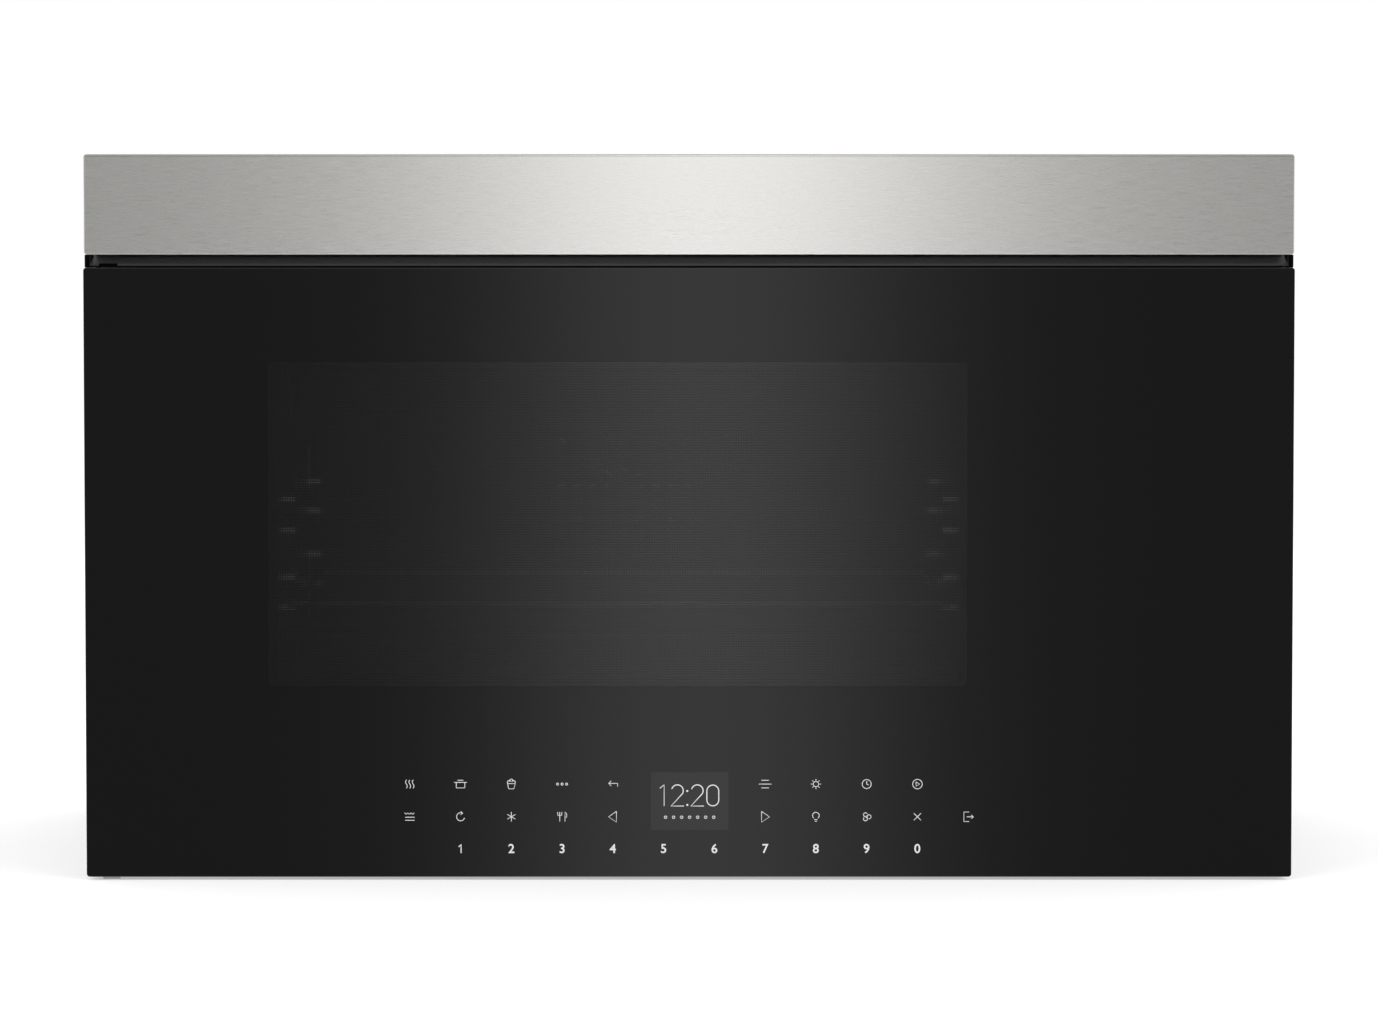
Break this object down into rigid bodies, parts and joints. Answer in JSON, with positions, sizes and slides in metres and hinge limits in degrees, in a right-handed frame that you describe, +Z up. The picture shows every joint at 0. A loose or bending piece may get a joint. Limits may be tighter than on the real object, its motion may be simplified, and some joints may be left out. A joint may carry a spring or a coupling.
{
  "type": "over the range microwave",
  "caption": "Over the range microwave with a full-width left-hinged black glass door, a brushed steel top band, a touch panel, an oven cavity and a vent blower.",
  "frame": {"origin": "under the middle of the oven, at the height of its base", "axes": "+X to the right seen from the front, +Y to the wall behind, +Z up"},
  "size_m": [0.76, 0.48, 0.457],
  "materials": {
    "stainless": "fine horizontal brushing, satin",
    "case_paint": "satin black powder paint",
    "zinc_sheet": "zinc coated sheet steel",
    "front_paint": "satin dark grey paint",
    "cavity_enamel": "smooth grey enamel",
    "floor_ceramic": "smooth glass ceramic",
    "rack_chrome": "polished chrome wire",
    "heater_tube": "heat darkened steel tube",
    "clip_steel": "bright stamped steel",
    "black_plastic": "fine grained black plastic",
    "outlet_plastic": "satin dark grey plastic",
    "black_glass": "polished glass, printed black on its back",
    "clear_glass": "clear float glass",
    "screen_paint": "black perforated steel",
    "charcoal": "black carbon granules behind a plastic grid",
    "mesh_aluminium": "layered expanded mesh",
    "motor_steel": "zinc plated motor shell",
    "wheel_plastic": "moulded dark plastic",
    "board_green": "green solder mask",
    "display_black": "dark display behind the glass",
    "black_rubber": "soft black rubber",
    "bush_plastic": "natural acetal",
    "screw_zinc": "bright zinc plated",
    "can_aluminium": "drawn aluminium can",
    "core_steel": "varnished steel laminations",
    "spring_steel": "bright spring steel",
    "lamp_white": "white moulded lamp housing"
  },
  "bodies": {
    "cabinet": {"cover": "case_paint", "base_pan": "zinc_sheet", "front_plate": "front_paint", "rear_panel": "zinc_sheet", "wall_plate": "zinc_sheet", "upper_hinge_arm": "case_paint", "lower_hinge_arm": "case_paint", "cavity_liner": "cavity_enamel", "ceramic_floor": "floor_ceramic", "rack_clips": "clip_steel", "grill_heater": "heater_tube", "convection_cover": "cavity_enamel", "convection_drum": "zinc_sheet", "convection_heater": "heater_tube", "convection_motor": "motor_steel", "waveguide": "zinc_sheet", "stirrer_motor": "motor_steel", "magnetron": "mesh_aluminium", "transformer": "core_steel", "capacitor": "can_aluminium", "power_board": "board_green", "fan_housing": "black_plastic", "fan_motor": "motor_steel", "cavity_lamp": "lamp_white", "blower_housing": "zinc_sheet", "blower_motor": "motor_steel", "exhaust_frame": "black_plastic", "cord_grommet": "black_rubber", "charcoal_filter": "charcoal", "vent_outlet": "outlet_plastic", "slot_end_caps": "black_plastic", "fascia": "stainless", "case_screws": "screw_zinc", "lamp_lenses": "clear_glass", "cooktop_lamps": "lamp_white", "latch_board": "black_plastic", "release_solenoid": "motor_steel", "interlock_switches": "black_plastic"},
    "door": {"door_glass": "black_glass", "door_frame": "black_plastic", "hinge_bushes": "bush_plastic", "door_screen": "screen_paint", "choke_cover": "black_plastic", "inner_glass": "clear_glass", "touch_board": "board_green", "display_module": "display_black", "door_bumpers": "black_rubber", "latch_spring": "spring_steel"},
    "latch": {"latch_hooks": "bush_plastic"},
    "release": {"release_slider": "bush_plastic"},
    "upper_levers": {"upper_switch_levers": "spring_steel"},
    "lower_lever": {"lower_switch_lever": "spring_steel"},
    "blower_rotor": {"blower_wheels": "wheel_plastic"},
    "fan_rotor": {"fan_wheel": "wheel_plastic"},
    "convection_rotor": {"convection_wheel": "zinc_sheet"},
    "stirrer_rotor": {"stirrer": "mesh_aluminium"},
    "damper": {"damper_flap": "zinc_sheet"},
    "left_filter": {"grease_filter_left": "mesh_aluminium"},
    "right_filter": {"grease_filter_right": "mesh_aluminium"},
    "rack": {"wire_rack": "rack_chrome"}
  },
  "joints": [
    {"name": "door_swing", "type": "hinge", "parent": "cabinet", "child": "door", "pos_m": [-0.3647, -0.228, 0.194], "axis": [0, 0, -1], "range_deg": [0, 105]},
    {"name": "release_slide", "type": "slide", "parent": "cabinet", "child": "release", "axis": [0, 0, 1], "range_m": [-0.005, 0], "stiffness_N_per_m": 150, "springref_m": -0.005},
    {"name": "latch_slide", "type": "slide", "parent": "door", "child": "latch", "axis": [0, 0, 1], "range_m": [-0.005, 0], "deforming": ["latch_spring"]},
    {"name": "upper_lever_tilt", "type": "hinge", "parent": "cabinet", "child": "upper_levers", "pos_m": [0.334, -0.1385, 0.232], "axis": [-1, 0, 0], "range_deg": [-12, 0]},
    {"name": "lower_lever_tilt", "type": "hinge", "parent": "cabinet", "child": "lower_lever", "pos_m": [0.334, -0.1385, 0.112], "axis": [-1, 0, 0], "range_deg": [-12, 0]},
    {"name": "blower_spin", "type": "hinge", "parent": "cabinet", "child": "blower_rotor", "pos_m": [0, 0.1685, 0.392], "axis": [1, 0, 0], "continuous": true},
    {"name": "fan_spin", "type": "hinge", "parent": "cabinet", "child": "fan_rotor", "pos_m": [0.29, 0.22, 0.25], "axis": [0, 1, 0], "continuous": true},
    {"name": "convection_spin", "type": "hinge", "parent": "cabinet", "child": "convection_rotor", "pos_m": [-0.045, 0.18, 0.229], "axis": [0, 1, 0], "continuous": true},
    {"name": "stirrer_spin", "type": "hinge", "parent": "cabinet", "child": "stirrer_rotor", "pos_m": [-0.045, -0.02, 0.109], "axis": [0, 0, 1], "continuous": true},
    {"name": "damper_lift", "type": "hinge", "parent": "cabinet", "child": "damper", "pos_m": [0, 0.018, 0.4478], "axis": [1, 0, 0], "range_deg": [0, 75]},
    {"name": "left_filter_slide", "type": "slide", "parent": "cabinet", "child": "left_filter", "axis": [0, 1, 0], "range_m": [0, 0.008]},
    {"name": "right_filter_slide", "type": "slide", "parent": "cabinet", "child": "right_filter", "axis": [0, 1, 0], "range_m": [0, 0.008]},
    {"name": "rack_slide", "type": "slide", "parent": "cabinet", "child": "rack", "axis": [0, -1, 0], "range_m": [0, 0.01]}
  ],
  "couplings": [
    {"joint": "latch_slide", "follows": "release_slide", "ratio": 1},
    {"joint": "upper_lever_tilt", "follows": "release_slide", "rad_per_m": 40},
    {"joint": "lower_lever_tilt", "follows": "release_slide", "rad_per_m": 40}
  ]
}
